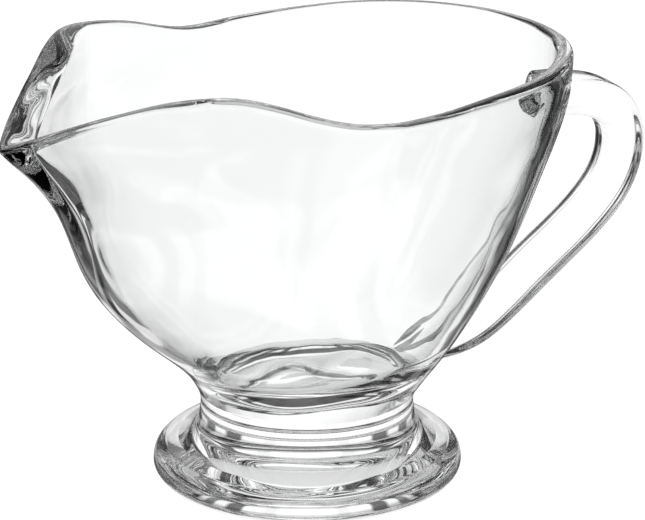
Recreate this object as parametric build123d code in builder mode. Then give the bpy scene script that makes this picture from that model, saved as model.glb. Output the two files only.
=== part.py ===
"""Clear pressed-glass sauce boat: a spouted bowl on a short stem and a round foot, with a loop handle.

Millimetres, +Z up. The origin is the centre of the foot where it stands on the table.
The spout points along -X and the handle along +X, and the plane Y = 0 is the plane of symmetry.
"""
import os

from build123d import *

# Foot: a thick round disc, widest low down, with a rounded shoulder and a shallow dome pressed into its underside
foot_radius = 36.4
foot_height = 8.0
foot_edge_radius = 2.4
foot_shoulder = [(36.4, 5.7), (34.2, 7.2)]
foot_hollow_radius = 23.0
foot_hollow_depth = 5.0

# Stem: a short solid waist between the foot and the bowl
stem_base_radius = 30.5
waist_radius = 25.2
waist_height = 17.0

# Bowl: level sections, each a rounded rear quarter pair joined to a front that draws out into the spout
# (height, reach to the spout, reach to the handle, half width, share of the spout outline)
bowl_sections = [
    (20.5, 25.7, 25.7, 25.7, 0.0),
    (25.0, 28.2, 29.3, 28.4, 0.0),
    (31.0, 33.7, 35.5, 31.1, 0.02),
    (38.0, 41.8, 41.6, 33.5, 0.03),
    (46.0, 49.7, 47.2, 35.8, 0.07),
    (56.0, 56.7, 52.8, 38.0, 0.13),
    (66.0, 61.3, 57.6, 39.8, 0.22),
    (76.0, 65.9, 62.4, 41.3, 0.34),
    (86.0, 73.4, 66.0, 43.0, 0.55),
    (96.0, 82.1, 67.2, 43.6, 1.00),
    (103.0, 83.0, 67.4, 43.9, 1.00),
    (110.0, 84.4, 67.8, 44.2, 1.00),
]
# Quarter outlines from the widest point to the tip, as control points in shares of reach and half width
round_quarter = [(0, 1), (0.33, 1), (0.63, 0.87), (0.87, 0.63), (1, 0.33), (1, 0)]
spout_quarter = [(0, 1), (0.22, 1), (1.12, 0.09), (0.05, 1.55), (1, 0.08), (1, 0)]
# At the spout the widest point of an outline moves this far towards the handle
widest_shift = 3.2
rim_wall = 4.2
floor_wall = 4.6
# The nose grows thicker than the side walls towards the spout: this share of a wall more at the very top
nose_thickening = 1.7
floor_fillet = 6.0
rim_round = 1.7

# Rim line seen from the side: (distance along X, height of the top of the wall)
rim_line = [
    (-100.0, 82.8),
    (-79.5, 96.3),
    (-70.0, 101.3),
    (-60.0, 106.1),
    (-50.0, 109.2),
    (-45.0, 109.1),
    (-38.0, 108.0),
    (-30.0, 105.8),
    (-20.0, 102.4),
    (-10.0, 99.9),
    (2.0, 99.1),
    (34.0, 99.5),
    (80.0, 97.7),
]

# Handle: a rounded bar swept along a loop in the plane of symmetry, (along X, height)
handle_line = [
    (54.0, 81.3),
    (72.0, 80.9),
    (84.2, 73.8),
    (85.0, 62.5),
    (76.0, 49.8),
    (60.5, 38.2),
    (43.0, 26.9),
    (25.2, 23.6),
]
handle_width = 10.6
handle_thickness = 9.5
handle_corner_radius = 2.8
handle_stations = 14
# The bar flares at its upper root and tapers along its lower run: shares of its size, and of the loop's length
root_flare = 0.32
root_flare_end = 0.16
tail_taper = 0.42
tail_taper_start = 0.80

base_height = bowl_sections[0][0]
base_radius = bowl_sections[0][1]
top_height = bowl_sections[-1][0]


def egg_outline(front, rear, half_width, spout):
    """One closed level outline of the bowl, from the handle side round to the spout and back."""
    widest = widest_shift * spout
    for side in (1, -1):
        back = [(widest + (rear - widest) * x, side * half_width * y) for x, y in reversed(round_quarter)]
        nose = [
            (widest - (front + widest) * (rx + (sx - rx) * spout), side * half_width * (ry + (sy - ry) * spout))
            for (rx, ry), (sx, sy) in zip(round_quarter, spout_quarter)
        ]
        Bezier(*back)
        Bezier(*nose)


def wall_at(height):
    """Wall thickness, from the heavy floor up to the rim."""
    share = (top_height - height) / (top_height - base_height)
    return rim_wall + (floor_wall - rim_wall) * share**2


def nose_wall_at(height):
    """Wall thickness in front, measured along X."""
    return wall_at(height) * (1 + nose_thickening * (height - base_height) / (top_height - base_height))


def bar_size(place):
    """Size of the handle's bar at a share of the loop's length, as a share of its plain size."""
    root = max(0, 1 - place / root_flare_end)
    tail = max(0, (place - tail_taper_start) / (1 - tail_taper_start))
    return 1 + root_flare * root**2 - tail_taper * tail**2


# Solid outer form of the bowl, cut along the rim line
with BuildPart() as bowl_form:
    for height, front, rear, half_width, spout in bowl_sections:
        with BuildSketch(Plane.XY.offset(height)):
            with BuildLine():
                egg_outline(front, rear, half_width, spout)
            make_face()
    loft()
    with BuildSketch(Plane.XZ):
        with BuildLine():
            rim = Spline(*rim_line)
            above = top_height + 5
            Polyline(rim @ 1, ((rim @ 1).X, above), ((rim @ 0).X, above), rim @ 0)
        make_face()
    extrude(amount=foot_radius * 2, both=True, mode=Mode.SUBTRACT)

# Cavity of the bowl: the same sections, one wall thickness inside, above the heavy floor
with BuildPart() as cavity:
    for height, front, rear, half_width, spout in bowl_sections[1:]:
        wall = wall_at(height)
        with BuildSketch(Plane.XY.offset(height)):
            with BuildLine():
                egg_outline(front - nose_wall_at(height), rear - wall, half_width - wall, spout)
            make_face()
    loft()
    fillet(cavity.edges().group_by(Axis.Z)[0], floor_fillet)

with BuildPart() as bowl:
    add(bowl_form.part)
    add(cavity.part, mode=Mode.SUBTRACT)
    fillet(bowl.faces().sort_by(Axis.Z)[-1].edges(), rim_round)
bowl.part.label = "bowl"

# Stem: revolved waist between the foot and the bowl
with BuildPart() as stem:
    with BuildSketch(Plane.XZ):
        with BuildLine():
            side = Spline(
                (stem_base_radius, foot_height),
                (waist_radius, waist_height),
                (base_radius, base_height),
                tangents=((-1, 0.3), (0.45, 1)),
            )
            Polyline(side @ 1, (0, base_height), (0, foot_height), side @ 0)
        make_face()
    revolve(axis=Axis.Z)
stem.part.label = "stem"

# Foot: revolved disc with a rounded shoulder and a domed hollow underneath
with BuildPart() as foot:
    with BuildSketch(Plane.XZ):
        with BuildLine():
            dome = ThreePointArc((-foot_hollow_radius, 0), (0, foot_hollow_depth), (foot_hollow_radius, 0))
            split(bisect_by=Plane.YZ)
            edge_centre = (foot_radius - foot_edge_radius, foot_edge_radius)
            Line((foot_hollow_radius, 0), (edge_centre[0], 0))
            CenterArc(edge_centre, foot_edge_radius, -90, 90)
            Bezier((foot_radius, foot_edge_radius), *foot_shoulder, (stem_base_radius, foot_height))
            Polyline((stem_base_radius, foot_height), (0, foot_height), (0, foot_hollow_depth))
        make_face()
    revolve(axis=Axis.Z)
foot.part.label = "foot"

# Handle: rounded bar lofted along the loop, trimmed to the outside of the bowl and the stem
with BuildPart() as handle:
    with BuildLine(Plane.XZ):
        loop = Spline(*handle_line)
    for station in range(handle_stations + 1):
        place = station / handle_stations
        size = bar_size(place)
        with BuildSketch(Plane(origin=loop @ place, x_dir=(0, 1, 0), z_dir=loop % place)):
            RectangleRounded(handle_width * size, handle_thickness * size, handle_corner_radius * size)
    loft()
    add([bowl_form.part, stem.part], mode=Mode.SUBTRACT)
handle.part.label = "handle"

os.makedirs("parts", exist_ok=True)
export_step(bowl.part, "parts/bowl.step")
export_step(stem.part, "parts/stem.step")
export_step(foot.part, "parts/foot.step")
export_step(handle.part, "parts/handle.step")
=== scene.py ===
"""Clear pressed-glass sauce boat: a spouted bowl on a short stem and a round foot, with a loop handle.

Lengths are in millimetres up to the meshes, which are in metres, in the CAD frame: +Z up, the spout along -X,
the handle along +X, and the origin at the centre of the foot where it stands on the table.
"""

import math

import bmesh
import bpy
import numpy as np
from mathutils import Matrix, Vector, noise


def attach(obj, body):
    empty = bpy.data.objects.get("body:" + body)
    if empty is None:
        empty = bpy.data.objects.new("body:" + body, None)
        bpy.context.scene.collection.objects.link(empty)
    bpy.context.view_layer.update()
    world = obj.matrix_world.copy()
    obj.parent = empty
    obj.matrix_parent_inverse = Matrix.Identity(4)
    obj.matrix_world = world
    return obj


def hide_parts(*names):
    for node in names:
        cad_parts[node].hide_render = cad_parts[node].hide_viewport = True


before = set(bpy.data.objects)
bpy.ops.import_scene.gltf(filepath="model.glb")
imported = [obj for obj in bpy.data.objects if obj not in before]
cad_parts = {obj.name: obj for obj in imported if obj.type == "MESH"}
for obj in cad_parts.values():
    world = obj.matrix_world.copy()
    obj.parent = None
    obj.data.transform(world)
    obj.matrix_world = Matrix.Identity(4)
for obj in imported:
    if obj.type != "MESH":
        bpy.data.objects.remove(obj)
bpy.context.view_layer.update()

MM = 0.001

# Bowl: (height, reach to the spout, reach to the handle, half width, share of the spout outline)
BOWL_SECTIONS = np.array([
    (20.5, 25.7, 25.7, 25.7, 0.0),
    (25.0, 28.2, 29.3, 28.4, 0.0),
    (31.0, 33.7, 35.5, 31.1, 0.02),
    (38.0, 41.8, 41.6, 33.5, 0.03),
    (46.0, 49.7, 47.2, 35.8, 0.07),
    (56.0, 56.7, 52.8, 38.0, 0.13),
    (66.0, 61.3, 57.6, 39.8, 0.22),
    (76.0, 65.9, 62.4, 41.3, 0.34),
    (86.0, 73.4, 66.0, 43.0, 0.55),
    (96.0, 82.1, 67.2, 43.6, 1.00),
    (103.0, 83.0, 67.4, 43.9, 1.00),
    (110.0, 84.4, 67.8, 44.2, 1.00),
])
# Quarter outlines from the widest point to the tip, as control points in shares of reach and half width
ROUND_QUARTER = np.array([(0, 1), (0.33, 1), (0.63, 0.87), (0.87, 0.63), (1, 0.33), (1, 0)])
SPOUT_QUARTER = np.array([(0, 1), (0.22, 1), (1.12, 0.09), (0.05, 1.55), (1, 0.08), (1, 0)])
# At the spout the widest point of an outline moves this far towards the handle
WIDEST_SHIFT = 3.2
# Rim line seen from the side: (distance along X, height of the top of the wall)
RIM_LINE = [
    (-100, 82.8), (-79.5, 96.3), (-70, 101.3), (-60, 106.1), (-50, 109.2), (-45, 109.1), (-38, 108.0),
    (-30, 105.8), (-20, 102.4), (-10, 99.9), (2, 99.1), (34, 99.5), (80, 97.7),
]
BASE_HEIGHT = BOWL_SECTIONS[0, 0]
BASE_RADIUS = BOWL_SECTIONS[0, 1]
TOP_HEIGHT = BOWL_SECTIONS[-1, 0]
RIM_WALL = 4.2
FLOOR_WALL = 4.6
# The nose grows thicker than the side walls towards the spout: this share of a wall more at the very top
NOSE_THICKENING = 1.7
RIM_ROUND = 1.7
# Inside of the bowl's floor without its lumps, where the wall starts to curve into it, and the share of the
# floor's reach at which the curve ends
FLOOR_HEIGHT = 24.4
FLOOR_CORNER_HEIGHT = 34.0
FLAT_SHARE = 0.5
# Underside of the solid that trims the handle's ends
MIDDLE_LOW = 29.0

# Stem and foot profiles: (radius, height)
STEM_SIDE = [(30.5, 8.0), (27.4, 9.7), (25.7, 12.6), (25.15, 16.5), (25.2, 18.5), (BASE_RADIUS, BASE_HEIGHT)]
FOOT_RADIUS = 36.4
FOOT_HEIGHT = 8.0
FOOT_EDGE_RADIUS = 2.4
FOOT_SHOULDER = [(36.4, 5.7), (34.2, 7.2)]
FOOT_HOLLOW_RADIUS = 23.0
FOOT_HOLLOW_DEPTH = 5.0
# Mould seam round the foot's shoulder
SEAM_RADIUS = 33.6
SEAM_WIDTH = 0.2
SEAM_HEIGHT = 0.05

# Handle: (along X, height) of the bar's centre line
HANDLE_LINE = [
    (54.0, 81.3), (72.0, 80.9), (84.2, 73.8), (85.0, 62.5),
    (76.0, 49.8), (60.5, 38.2), (43.0, 26.9), (25.2, 23.6),
]
HANDLE_WIDTH = 10.6
HANDLE_THICKNESS = 9.5
HANDLE_CORNER = 2.8
# The bar flares at its upper root and tapers down its lower run: shares of its size and of the loop's length
ROOT_FLARE = 0.32
ROOT_FLARE_END = 0.16
TAIL_TAPER = 0.42
TAIL_TAPER_START = 0.80

# Unevenness of the pressed and fire-polished surface: (wavelength, height) of each layer of noise
UNEVENNESS = [(24.0, 0.14), (9.0, 0.03), (4.0, 0.005)]
# The vector noise is random in each run unless its seed is set
NOISE_SEED = 5
noise.seed_set(NOISE_SEED)
# Lumps in the floor of the bowl: their wavelength and height
FLOOR_LUMP_LENGTH = 17.0
FLOOR_LUMP_HEIGHT = 2.2
# Flow lines along the rim: their length and width, their height, and how far down the wall they fade out
FLOW_LENGTH = 26.0
FLOW_WIDTH = 1.9
FLOW_HEIGHT = 0.07
FLOW_REACH = 9.0

# How finely each stretch of surface is divided: points round a ring, then rings along each stretch, and where
# the last ring lies before a closing point
AROUND = 384
OUTER_RINGS, RIM_RINGS, INNER_RINGS, CURVE_RINGS, FLOOR_RINGS = 100, 17, 90, 26, 20
FLOOR_LAST_SHARE = 0.04
MIDDLE_RINGS = 40
HANDLE_RINGS = 220
CORNER_POINTS, SIDE_POINTS = 12, 8
STEM_RINGS = 40
SHOULDER_RINGS, EDGE_RINGS, UNDERSIDE_RINGS, DOME_RINGS = 60, 17, 12, 40
DOME_LAST_RADIUS = 0.6
# Rounds of averaging that settle the rim's height, and the step along the handle that gives its direction
RIM_ROUNDS = 40
SMALL_STEP = 0.05

# Points closer than this are one, in metres
SAME_PLACE = 1e-8

# Slots of a mesh while it is built
GLASS, JOINT, HANDLE_GLASS = range(3)

# Glass: metres for the height of its waves, and cycles per metre for the scales of its noise
GLASS_TINT = (0.985, 0.992, 0.99, 1)
GLASS_IOR = 1.52
WAVE_HEIGHT = 0.00004
WAVE_SCALE = 28.0
WAVE_DETAIL = 1.5
PATCH_SCALE = 90.0
PATCH_FROM, PATCH_TO = 0.55, 0.8
MOST_ROUGHNESS = 0.004


# ---------------------------------------------------------------- curves

def cubic(xs, ys):
    """Natural cubic spline through the points, as a function of x. Each y may be a row of values."""
    xs, ys = np.asarray(xs, float), np.asarray(ys, float).reshape(len(xs), -1)
    n, h = len(xs), np.diff(xs)
    system, right = np.eye(n), np.zeros_like(ys)
    for i in range(1, n - 1):
        system[i, i - 1:i + 2] = h[i - 1], 2 * (h[i - 1] + h[i]), h[i]
        right[i] = 6 * ((ys[i + 1] - ys[i]) / h[i] - (ys[i] - ys[i - 1]) / h[i - 1])
    bend = np.linalg.solve(system, right)

    def at(x):
        x = np.atleast_1d(np.asarray(x, float))
        k = np.clip(np.searchsorted(xs, x) - 1, 0, n - 2)
        step = h[k][:, None]
        done, left = (x - xs[k])[:, None], (xs[k + 1] - x)[:, None]
        return ((bend[k] * left**3 + bend[k + 1] * done**3) / (6 * step)
                + (ys[k] / step - bend[k] * step / 6) * left
                + (ys[k + 1] / step - bend[k + 1] * step / 6) * done)

    return at


def bezier(points, t):
    """Points at shares t of Bezier curves: points is (..., degree + 1, 2) and t has the leading shape."""
    degree = points.shape[-2] - 1
    t = np.asarray(t, float)
    total = 0
    for i in range(degree + 1):
        weight = math.comb(degree, i) * (1 - t)**(degree - i) * t**i
        total = total + weight[..., None] * points[..., i, :]
    return total


section_at = cubic(BOWL_SECTIONS[:, 0], BOWL_SECTIONS[:, 1:])
rim_height_at = cubic(*zip(*RIM_LINE))


def outline(front, rear, half_width, spout, turn):
    """(x, y) of level outlines at shares turn of a round, from the handle by +Y to the spout and back."""
    half_turn = np.where(turn <= 0.5, 2 * turn, 2 * (1 - turn))
    side = np.where(turn <= 0.5, 1.0, -1.0)
    widest = WIDEST_SHIFT * spout
    each = turn.shape + ROUND_QUARTER.shape
    back = bezier(np.broadcast_to(ROUND_QUARTER, each), np.clip(1 - 2 * half_turn, 0, 1))
    shape = ROUND_QUARTER + (SPOUT_QUARTER - ROUND_QUARTER) * np.reshape(spout, np.shape(spout) + (1, 1))
    nose = bezier(np.broadcast_to(shape, each), np.clip(2 * half_turn - 1, 0, 1))
    is_back = half_turn <= 0.5
    x = np.where(is_back, widest + (rear - widest) * back[..., 0], widest - (front + widest) * nose[..., 0])
    y = side * half_width * np.where(is_back, back[..., 1], nose[..., 1])
    return np.stack([x, y], -1)


def wall_at(height):
    """Wall thickness, from the heavy floor up to the rim."""
    share = np.clip((TOP_HEIGHT - height) / (TOP_HEIGHT - BASE_HEIGHT), 0, 1)
    return RIM_WALL + (FLOOR_WALL - RIM_WALL) * share**2


def outer_ring(height, turn):
    """Ring of outer points of the bowl. height is one value per point of the ring."""
    front, rear, half_width, spout = section_at(height).T
    return np.column_stack([outline(front, rear, half_width, np.clip(spout, 0, 1), turn), height])


def inner_ring(height, turn):
    """Ring of points on the inside of the wall, at the same heights and shares of the turn."""
    front, rear, half_width, spout = section_at(height).T
    wall = wall_at(height)
    nose_wall = wall * (1 + NOSE_THICKENING * (height - BASE_HEIGHT) / (TOP_HEIGHT - BASE_HEIGHT))
    xy = outline(front - nose_wall, rear - wall, half_width - wall, np.clip(spout, 0, 1), turn)
    return np.column_stack([xy, height])


# ---------------------------------------------------------------- meshes

def skin(rings, start_cap, end_cap):
    """Closed mesh data through rings of equal length, with a fan at each end. A cap is (centre, slot)."""
    n = len(rings[0])
    points, faces, slots = list(np.concatenate(rings)), [], []
    for r in range(len(rings) - 1):
        for i in range(n):
            j = (i + 1) % n
            faces.append((r * n + i, r * n + j, (r + 1) * n + j, (r + 1) * n + i))
            slots.append(GLASS)
    for (centre, slot), first, is_end in ((start_cap, 0, False), (end_cap, (len(rings) - 1) * n, True)):
        points.append(centre)
        for i in range(n):
            a, b = (i, (i + 1) % n) if is_end else ((i + 1) % n, i)
            faces.append((first + a, first + b, len(points) - 1))
            slots.append(slot)
    return np.array(points), faces, slots


def uneven(points):
    """The points moved by a smooth field of small shifts, the same for every piece at the same place."""
    moved = np.array(points, float)
    for wavelength, height in UNEVENNESS:
        moved += height * np.array([noise.noise_vector(Vector(p) / wavelength) for p in points])
    return moved


def make_object(name, points, faces, slots, materials):
    """Mesh object in metres, smooth except where a fused face meets the open glass."""
    mesh = bpy.data.meshes.new(name)
    mesh.from_pydata([tuple(p) for p in np.asarray(points) * MM], [], faces)
    for material in materials:
        mesh.materials.append(material)
    mesh.polygons.foreach_set("material_index", slots)
    obj = bpy.data.objects.new(name, mesh)
    bpy.context.scene.collection.objects.link(obj)
    finish_mesh(obj)
    return obj


def finish_mesh(obj):
    """Consistent normals, triangles for many-sided faces, sharp edges round fused faces, and unevenness."""
    bm = bmesh.new()
    bm.from_mesh(obj.data)
    bmesh.ops.remove_doubles(bm, verts=bm.verts, dist=SAME_PLACE)
    bmesh.ops.triangulate(bm, faces=[f for f in bm.faces if len(f.verts) > 4])
    bmesh.ops.recalc_face_normals(bm, faces=bm.faces)
    for face in bm.faces:
        face.smooth = face.material_index != JOINT
    for edge in bm.edges:
        edge.smooth = len({f.material_index == JOINT for f in edge.link_faces}) == 1
    for vert, place in zip(bm.verts, uneven([v.co / MM for v in bm.verts])):
        vert.co = place * MM
    bm.to_mesh(obj.data)
    bm.free()
    obj.data.update()


# ---------------------------------------------------------------- materials

def node_material(name):
    """Empty node material, with its nodes and links."""
    material = bpy.data.materials.new(name)
    material.use_nodes = True
    material.node_tree.nodes.clear()
    return material, material.node_tree.nodes, material.node_tree.links


def glass_material(name):
    """Clear pressed glass: faint waviness left by the mould, and a trace of roughness in patches."""
    material, nodes, links = node_material(name)
    out = nodes.new("ShaderNodeOutputMaterial")
    glass = nodes.new("ShaderNodeBsdfPrincipled")
    glass.inputs["Base Color"].default_value = GLASS_TINT
    glass.inputs["Transmission Weight"].default_value = 1.0
    glass.inputs["IOR"].default_value = GLASS_IOR
    place = nodes.new("ShaderNodeTexCoord")
    waves = nodes.new("ShaderNodeTexNoise")
    waves.inputs["Scale"].default_value = WAVE_SCALE
    waves.inputs["Detail"].default_value = WAVE_DETAIL
    bump = nodes.new("ShaderNodeBump")
    bump.inputs["Distance"].default_value = WAVE_HEIGHT
    bump.inputs["Strength"].default_value = 1.0
    patches = nodes.new("ShaderNodeTexNoise")
    patches.inputs["Scale"].default_value = PATCH_SCALE
    rough = nodes.new("ShaderNodeMapRange")
    rough.inputs["From Min"].default_value = PATCH_FROM
    rough.inputs["From Max"].default_value = PATCH_TO
    rough.inputs["To Min"].default_value = 0.0
    rough.inputs["To Max"].default_value = MOST_ROUGHNESS
    links.new(place.outputs["Object"], waves.inputs["Vector"])
    links.new(place.outputs["Object"], patches.inputs["Vector"])
    links.new(waves.outputs["Fac"], bump.inputs["Height"])
    links.new(patches.outputs["Fac"], rough.inputs["Value"])
    links.new(rough.outputs["Result"], glass.inputs["Roughness"])
    links.new(bump.outputs["Normal"], glass.inputs["Normal"])
    links.new(glass.outputs["BSDF"], out.inputs["Surface"])
    return material


def joint_material():
    """Material of the faces where two members are fused. Light crosses it unchanged."""
    material, nodes, links = node_material("fused_face")
    out = nodes.new("ShaderNodeOutputMaterial")
    clear = nodes.new("ShaderNodeBsdfTransparent")
    links.new(clear.outputs["BSDF"], out.inputs["Surface"])
    return material


bowl_glass = glass_material("bowl_glass")
handle_glass = glass_material("handle_glass")
stem_glass = glass_material("stem_glass")
foot_glass = glass_material("foot_glass")
fused = joint_material()


# ---------------------------------------------------------------- bowl

def floor_lumps(points, share):
    """The points of the bowl's floor raised and lowered a little, as the plunger left them."""
    lift = np.array([noise.noise(Vector(p) / FLOOR_LUMP_LENGTH) for p in points])
    return points + np.outer(lift * FLOOR_LUMP_HEIGHT * share, (0, 0, 1))


def rim_ring_height(turn):
    """Height of the rim round the bowl, where the outer wall meets the rim line."""
    rim = np.full(AROUND, float(RIM_LINE[-1][1]))
    for _ in range(RIM_ROUNDS):
        rim = (rim + rim_height_at(outer_ring(rim, turn)[:, 0])[:, 0]) / 2
    return rim


def flow_lines(ring, across, outward):
    """The ring moved along outward by low ridges that run round the rim.

    across is each point's distance over the surface from the middle of the rim, negative on the outside.
    """
    length = np.linalg.norm(np.roll(ring, -1, 0) - ring, axis=1)
    along = 2 * math.pi * np.cumsum(length) / length.sum()
    size = length.sum() / (2 * math.pi * FLOW_LENGTH)
    fade = FLOW_HEIGHT * np.clip(1 - np.abs(across) / FLOW_REACH, 0, 1)
    circle = zip(size * np.cos(along), size * np.sin(along))
    lift = [noise.noise((x, y, c / FLOW_WIDTH)) for (x, y), c in zip(circle, across)]
    return ring + outward * (fade * np.array(lift))[:, None]


def build_bowl():
    """Wall outside, round the rim and inside, down to the lumpy floor."""
    turn = np.arange(AROUND) / AROUND
    shoulder = rim_ring_height(turn) - RIM_ROUND
    outer_top, inner_top = outer_ring(shoulder, turn), inner_ring(shoulder, turn)
    middle, arm = (outer_top + inner_top) / 2, (outer_top - inner_top) / 2
    half_arc = math.pi / 2 * (RIM_WALL + 2 * RIM_ROUND) / 4
    out, up = arm / np.linalg.norm(arm, axis=1)[:, None], np.array([0, 0, 1.0])
    rings = []
    for share in np.linspace(0, 1, OUTER_RINGS):
        height = BASE_HEIGHT + (shoulder - BASE_HEIGHT) * share
        rings.append(flow_lines(outer_ring(height, turn), height - shoulder - half_arc, out))
    for angle in np.linspace(0, math.pi, RIM_RINGS)[1:-1]:
        ring = middle + arm * math.cos(angle) + up * RIM_ROUND * math.sin(angle)
        across = np.full(AROUND, half_arc * (2 * angle / math.pi - 1))
        rings.append(flow_lines(ring, across, out * math.cos(angle) + up * math.sin(angle)))
    corner_top = np.full(AROUND, FLOOR_CORNER_HEIGHT)
    for share in np.linspace(0, 1, INNER_RINGS):
        height = shoulder + (corner_top - shoulder) * share
        rings.append(flow_lines(inner_ring(height, turn), half_arc + shoulder - height, -out))
    corner = inner_ring(np.full(AROUND, FLOOR_HEIGHT), turn)
    flat = corner * np.array([FLAT_SHARE, FLAT_SHARE, 1.0])
    wall_foot = rings[-1]
    for t in np.linspace(0, 1, CURVE_RINGS)[1:]:
        rings.append(floor_lumps(wall_foot * (1 - t)**2 + corner * 2 * t * (1 - t) + flat * t**2, t**2))
    for share in np.linspace(1, FLOOR_LAST_SHARE, FLOOR_RINGS)[1:]:
        rings.append(floor_lumps(np.column_stack([flat[:, :2] * share, flat[:, 2]]), 1.0))
    centre = floor_lumps(np.array([[0, 0, FLOOR_HEIGHT]]), 1.0)[0]
    return skin(rings, ((0, 0, BASE_HEIGHT), JOINT), (centre, GLASS))


# ---------------------------------------------------------------- handle

def bar_size(place):
    """Size of the handle's bar at a share of the loop's length, as a share of its plain size."""
    root = max(0, 1 - place / ROOT_FLARE_END)
    tail = max(0, (place - TAIL_TAPER_START) / (1 - TAIL_TAPER_START))
    return 1 + ROOT_FLARE * root**2 - TAIL_TAPER * tail**2


def rounded_rectangle(width, thickness, corner):
    """Closed outline as (across, through) points."""
    points = []
    centres = [(1, 1, 0), (-1, 1, 90), (-1, -1, 180), (1, -1, 270)]
    for sx, sy, start in centres:
        centre = np.array([sx * (width / 2 - corner), sy * (thickness / 2 - corner)])
        for a in np.radians(np.linspace(start, start + 90, CORNER_POINTS)):
            points.append(centre + corner * np.array([math.cos(a), math.sin(a)]))
    closed = []
    for a, b in zip(points, points[1:] + points[:1]):
        closed.append(a)
        is_side = np.linalg.norm(b - a) > corner / 2
        if is_side:
            closed += [a + (b - a) * k / SIDE_POINTS for k in range(1, SIDE_POINTS)]
    return np.array(closed)


def build_handle():
    """Rounded bar along the loop. It runs on into the bowl's wall at both ends."""
    knots = np.array(HANDLE_LINE)
    lengths = np.concatenate([[0], np.cumsum(np.linalg.norm(np.diff(knots, axis=0), axis=1))])
    line = cubic(lengths, knots)
    rings = []
    for place in np.linspace(0, 1, HANDLE_RINGS):
        at = place * lengths[-1]
        here = line(at)[0]
        ahead = line(at + SMALL_STEP)[0] - line(at - SMALL_STEP)[0]
        ahead /= np.linalg.norm(ahead)
        normal = np.array([-ahead[1], ahead[0]])
        size = bar_size(place)
        section = rounded_rectangle(HANDLE_WIDTH * size, HANDLE_THICKNESS * size, HANDLE_CORNER * size)
        xz = here + section[:, 1:] * normal
        rings.append(np.column_stack([xz[:, 0], section[:, 0], xz[:, 1]]))
    start, end = rings[0].mean(0), rings[-1].mean(0)
    points, faces, slots = skin(rings, (start, GLASS), (end, GLASS))
    return points, faces, [HANDLE_GLASS] * len(slots)


def split_fused(whole, keep, name, materials):
    """Copy of the faces of whole whose slot is in keep, closed by fused faces over the openings."""
    bm = bmesh.new()
    bm.from_mesh(whole.data)
    bmesh.ops.delete(bm, geom=[f for f in bm.faces if f.material_index not in keep], context="FACES")
    before = set(bm.faces)
    bmesh.ops.holes_fill(bm, edges=[e for e in bm.edges if e.is_boundary], sides=0)
    caps = [f for f in bm.faces if f not in before]
    for face in caps:
        face.material_index = JOINT
    for face in before:
        if face.material_index == HANDLE_GLASS:
            face.material_index = GLASS
    mesh = bpy.data.meshes.new(name)
    for material in materials:
        mesh.materials.append(material)
    bm.to_mesh(mesh)
    bm.free()
    obj = bpy.data.objects.new(name, mesh)
    bpy.context.scene.collection.objects.link(obj)
    finish_mesh(obj)
    return obj


def build_middle():
    """Solid that fills the bowl to halfway through its wall. It cuts the handle's ends short in the glass."""
    turn = np.arange(AROUND) / AROUND
    rim = rim_ring_height(turn)
    rings = []
    for share in np.linspace(0, 1, MIDDLE_RINGS):
        height = MIDDLE_LOW + (rim - MIDDLE_LOW) * share
        rings.append((outer_ring(height, turn) + inner_ring(height, turn)) / 2)
    points, faces, slots = skin(rings, ((0, 0, MIDDLE_LOW), GLASS), ((0, 0, TOP_HEIGHT), GLASS))
    return points, faces, [HANDLE_GLASS] * len(slots)


def combined(obj, other, operation, name):
    """New object from an exact boolean of two closed meshes."""
    modifier = obj.modifiers.new(name, "BOOLEAN")
    modifier.operation, modifier.solver, modifier.object = operation, "EXACT", other
    shape = obj.evaluated_get(bpy.context.evaluated_depsgraph_get())
    return bpy.data.objects.new(name, bpy.data.meshes.new_from_object(shape))


def build_bowl_and_handle():
    """The bowl and the handle as one fused body, split again where the handle's faces start."""
    slots = [bowl_glass, fused, handle_glass]
    bowl = make_object("bowl_blank", *build_bowl(), slots)
    bar = make_object("handle_blank", *build_handle(), slots)
    middle = make_object("middle_blank", *build_middle(), slots)
    handle = combined(bar, middle, "DIFFERENCE", "handle_cut")
    bpy.context.scene.collection.objects.link(handle)
    whole = combined(bowl, handle, "UNION", "whole")
    bowl_piece = split_fused(whole, {GLASS, JOINT}, "bowl_piece", [bowl_glass, fused])
    handle_piece = split_fused(whole, {HANDLE_GLASS}, "handle_piece", [handle_glass, fused])
    for blank in (bowl, bar, middle, handle, whole):
        bpy.data.objects.remove(blank)
    return bowl_piece, handle_piece


# ---------------------------------------------------------------- stem and foot

def round_ring(radius, height):
    """Round level ring, divided as the bowl's rings are."""
    turn, no_spout = np.arange(AROUND) / AROUND, np.zeros(AROUND)
    return np.column_stack([outline(radius, radius, radius, no_spout, turn), np.full(AROUND, height)])


def build_stem():
    """Waist between the fused faces of the foot and the bowl."""
    knots = np.array(STEM_SIDE)
    side = cubic(knots[:, 1], knots[:, 0])
    rings = [round_ring(side(h)[0, 0], h) for h in np.linspace(FOOT_HEIGHT, BASE_HEIGHT, STEM_RINGS)]
    return skin(rings, ((0, 0, FOOT_HEIGHT), JOINT), ((0, 0, BASE_HEIGHT), JOINT))


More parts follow.
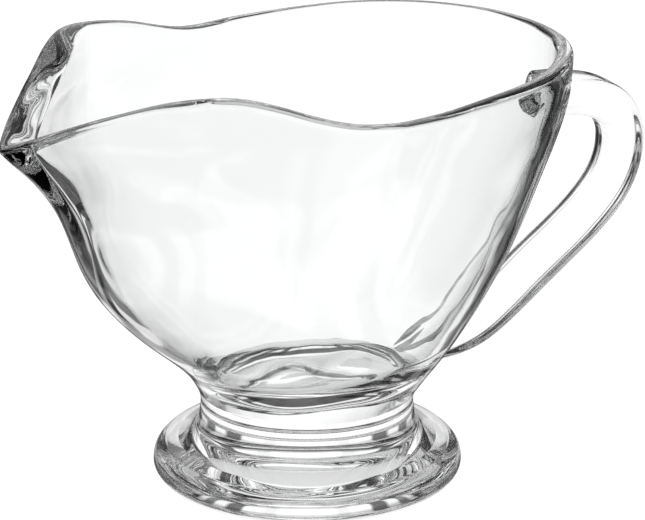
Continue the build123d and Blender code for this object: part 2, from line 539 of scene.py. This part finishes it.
def build_foot():
    """Disc with a sloping shoulder, a seam round it, and a domed hollow underneath."""
    top, widest = (STEM_SIDE[0][0], FOOT_HEIGHT), (FOOT_RADIUS, FOOT_EDGE_RADIUS)
    shoulder = np.array([top, *reversed(FOOT_SHOULDER), widest])
    shares = np.linspace(0, 1, SHOULDER_RINGS)
    profile = bezier(np.broadcast_to(shoulder, (len(shares),) + shoulder.shape), shares)
    ridge = SEAM_HEIGHT * np.exp(-((profile[:, 0] - SEAM_RADIUS) / SEAM_WIDTH)**2)
    profile = [tuple(point) for point in profile + np.outer(ridge, (0, 1))]
    edge = FOOT_RADIUS - FOOT_EDGE_RADIUS
    for a in np.radians(np.linspace(0, -90, EDGE_RINGS)[1:]):
        profile.append((edge + FOOT_EDGE_RADIUS * math.cos(a), FOOT_EDGE_RADIUS * (1 + math.sin(a))))
    profile += [(r, 0) for r in np.linspace(edge, FOOT_HOLLOW_RADIUS, UNDERSIDE_RINGS)[1:-1]]
    dome_radius = (FOOT_HOLLOW_RADIUS**2 + FOOT_HOLLOW_DEPTH**2) / (2 * FOOT_HOLLOW_DEPTH)
    for r in np.linspace(FOOT_HOLLOW_RADIUS, DOME_LAST_RADIUS, DOME_RINGS):
        profile.append((r, FOOT_HOLLOW_DEPTH - dome_radius + math.sqrt(dome_radius**2 - r**2)))
    rings = [round_ring(r, h) for r, h in profile]
    return skin(rings, ((0, 0, FOOT_HEIGHT), JOINT), ((0, 0, FOOT_HOLLOW_DEPTH), GLASS))


bowl_piece, handle_piece = build_bowl_and_handle()
stem_piece = make_object("stem_piece", *build_stem(), [stem_glass, fused])
foot_piece = make_object("foot_piece", *build_foot(), [foot_glass, fused])
pieces = {"bowl": bowl_piece, "handle": handle_piece, "stem": stem_piece, "foot": foot_piece}
for node, piece in pieces.items():
    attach(piece, "root")
    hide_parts(node)
    piece.visible_shadow = False


# ---------------------------------------------------------------- studio

# Camera, in degrees and metres, with its lens and sensor in millimetres
VIEW_AZIMUTH = -29.6
VIEW_ELEVATION = 21.08
VIEW_DISTANCE = 1.8
VIEW_TARGET = (0.00317, -0.00180, 0.05198)
LENS = 428.5
SENSOR_WIDTH = 36.0
NEAREST, FARTHEST = 0.01, 50.0
# How many bounces light is followed for, because it runs far along inside the thick rim and the nose
MOST_BOUNCES = 24

# Table: how far it lies below the foot and reaches to each side, in metres, and how bright it is
FLOOR_GAP = 0.0003
FLOOR_HALF = 14.0
PALE = 1.12
# Painted shadow of the foot, which darkens the table's glow round the foot's middle: how far it reaches in
# millimetres, then (distance from the foot's middle as a share of that reach, share of brightness)
PAINTED_SHADOW_REACH = 40.0
FOOT_PAINTED_SHADOW = [(0.0, 0.62), (0.55, 0.7), (0.84, 0.76), (0.90, 0.97), (0.92, 1.0)]


def ramp_node(nodes, stops):
    """Grey ramp through stops, each a place from 0 to 1 and a brightness there."""
    ramp = nodes.new("ShaderNodeValToRGB")
    elements = ramp.color_ramp.elements
    for element, (at, value) in zip(elements, (stops[0], stops[-1])):
        element.position, element.color = at, (value, value, value, 1)
    for at, value in stops[1:-1]:
        elements.new(at).color = (value, value, value, 1)
    return ramp


def reflected_light(nodes, links):
    """Output that is 1 for light that the glass has reflected at least once, and 0 for the rest."""
    path = nodes.new("ShaderNodeLightPath")
    reflected = nodes.new("ShaderNodeMath")
    reflected.operation = "GREATER_THAN"
    reflected.inputs[1].default_value = 0.5
    links.new(path.outputs["Glossy Depth"], reflected.inputs[0])
    return reflected.outputs[0]


def make_floor():
    """Pale light table, with a painted shadow of the foot darkening its glow round the foot's middle. Light
    that the glass reflected passes through it.
    """
    material, nodes, links = node_material("light_table")
    out = nodes.new("ShaderNodeOutputMaterial")
    mix = nodes.new("ShaderNodeMixShader")
    pale, through = nodes.new("ShaderNodeEmission"), nodes.new("ShaderNodeBsdfTransparent")
    pale.inputs["Strength"].default_value = PALE
    place = nodes.new("ShaderNodeTexCoord")
    reach = nodes.new("ShaderNodeVectorMath")
    reach.operation = "LENGTH"
    share = nodes.new("ShaderNodeMath")
    share.operation = "DIVIDE"
    share.inputs[1].default_value = PAINTED_SHADOW_REACH * MM
    # Painted shadow of the foot: the table's glow darker towards the foot's middle
    painted_shadow = ramp_node(nodes, FOOT_PAINTED_SHADOW)
    links.new(place.outputs["Object"], reach.inputs[0])
    links.new(reach.outputs["Value"], share.inputs[0])
    links.new(share.outputs[0], painted_shadow.inputs["Fac"])
    links.new(painted_shadow.outputs["Color"], pale.inputs["Color"])
    links.new(reflected_light(nodes, links), mix.inputs["Fac"])
    links.new(pale.outputs["Emission"], mix.inputs[1])
    links.new(through.outputs["BSDF"], mix.inputs[2])
    links.new(mix.outputs["Shader"], out.inputs["Surface"])
    corners = [(-1, -1), (1, -1), (1, 1), (-1, 1)]
    mesh = bpy.data.meshes.new("floor")
    mesh.from_pydata([(x * FLOOR_HALF, y * FLOOR_HALF, -FLOOR_GAP) for x, y in corners], [], [(0, 1, 2, 3)])
    mesh.materials.append(material)
    floor = bpy.data.objects.new("floor", mesh)
    bpy.context.scene.collection.objects.link(floor)


# Brightness of the studio as the glass reflects it, pale panels with dark boards between them. Both run
# from 0 to 1: the share of a direction that points sideways, and its height from straight down to up.
SIDEWAYS = [
    (0.0, 1.1), (0.15, 1.1), (0.17, 0.85), (0.22, 0.85), (0.25, 1.0), (0.36, 0.9),
    (0.38, 0.15), (0.47, 0.15), (0.50, 0.9), (0.57, 0.9), (0.59, 0.2), (0.66, 0.2),
    (0.69, 0.8), (0.74, 0.7), (0.78, 0.06), (1.0, 0.06),
]
UPWARD = [
    (0.0, 0.1), (0.11, 0.1), (0.13, 0.9), (0.22, 0.9), (0.25, 0.05), (0.33, 0.05),
    (0.35, 0.5), (0.40, 0.5), (0.42, 0.04), (0.49, 0.04), (0.51, 0.5), (0.58, 0.5),
    (0.60, 0.9), (0.63, 0.45), (0.68, 1.05), (0.80, 1.05), (0.83, 0.6), (1.0, 0.5),
]
# Brightness of the backdrop, against the same height, for light that the glass hasn't reflected: as pale
# as the table up to well above the horizon, then a little darker
OPEN_SKY = [(0.0, 1.0), (0.68, 1.0), (0.85, 0.75), (1.0, 0.9)]


def color_mix(nodes, blend):
    """Node that mixes colours fully, until something is linked to its factor."""
    mix = nodes.new("ShaderNodeMix")
    mix.data_type, mix.blend_type = "RGBA", blend
    mix.inputs["Factor"].default_value = 1.0
    return mix


def make_world():
    """Studio all round: panels and boards for reflected light, and a pale backdrop for the rest."""
    world = bpy.data.worlds.new("studio")
    bpy.context.scene.world = world
    world.use_nodes = True
    nodes, links = world.node_tree.nodes, world.node_tree.links
    nodes.clear()
    out = nodes.new("ShaderNodeOutputWorld")
    background = nodes.new("ShaderNodeBackground")
    place = nodes.new("ShaderNodeTexCoord")
    side = nodes.new("ShaderNodeVectorMath")
    side.operation = "DOT_PRODUCT"
    azimuth = math.radians(VIEW_AZIMUTH)
    side.inputs[1].default_value = (math.cos(azimuth), math.sin(azimuth), 0)
    either = nodes.new("ShaderNodeMath")
    either.operation = "ABSOLUTE"
    split = nodes.new("ShaderNodeSeparateXYZ")
    height = nodes.new("ShaderNodeMapRange")
    height.inputs["From Min"].default_value = -1.0
    sideways, upward, sky = (ramp_node(nodes, stops) for stops in (SIDEWAYS, UPWARD, OPEN_SKY))
    both, seen = color_mix(nodes, "MULTIPLY"), color_mix(nodes, "MIX")
    background.inputs["Strength"].default_value = PALE
    links.new(place.outputs["Generated"], side.inputs[0])
    links.new(side.outputs["Value"], either.inputs[0])
    links.new(either.outputs[0], sideways.inputs["Fac"])
    links.new(place.outputs["Generated"], split.inputs["Vector"])
    links.new(split.outputs["Z"], height.inputs["Value"])
    links.new(height.outputs["Result"], upward.inputs["Fac"])
    links.new(height.outputs["Result"], sky.inputs["Fac"])
    links.new(sideways.outputs["Color"], both.inputs["A"])
    links.new(upward.outputs["Color"], both.inputs["B"])
    links.new(reflected_light(nodes, links), seen.inputs["Factor"])
    links.new(sky.outputs["Color"], seen.inputs["A"])
    links.new(both.outputs["Result"], seen.inputs["B"])
    links.new(seen.outputs["Result"], background.inputs["Color"])
    links.new(background.outputs["Background"], out.inputs["Surface"])


def make_camera():
    """The photograph's viewpoint: a long lens, to the spout's side of the front and looking down a little."""
    azimuth, elevation = math.radians(VIEW_AZIMUTH), math.radians(VIEW_ELEVATION)
    back = Vector((math.sin(azimuth) * math.cos(elevation), -math.cos(azimuth) * math.cos(elevation),
                   math.sin(elevation)))
    data = bpy.data.cameras.new("camera")
    data.sensor_width = SENSOR_WIDTH
    data.lens = LENS
    data.clip_start, data.clip_end = NEAREST, FARTHEST
    camera = bpy.data.objects.new("camera", data)
    camera.location = Vector(VIEW_TARGET) + back * VIEW_DISTANCE
    camera.rotation_mode = "QUATERNION"
    camera.rotation_quaternion = (-back).to_track_quat("-Z", "Y")
    bpy.context.scene.collection.objects.link(camera)
    bpy.context.scene.camera = camera


make_camera()
make_floor()
make_world()
bpy.context.scene.view_settings.view_transform = "Standard"
cycles = bpy.context.scene.cycles
cycles.max_bounces = cycles.glossy_bounces = MOST_BOUNCES
cycles.transmission_bounces = cycles.transparent_max_bounces = MOST_BOUNCES

bpy.context.view_layer.update()
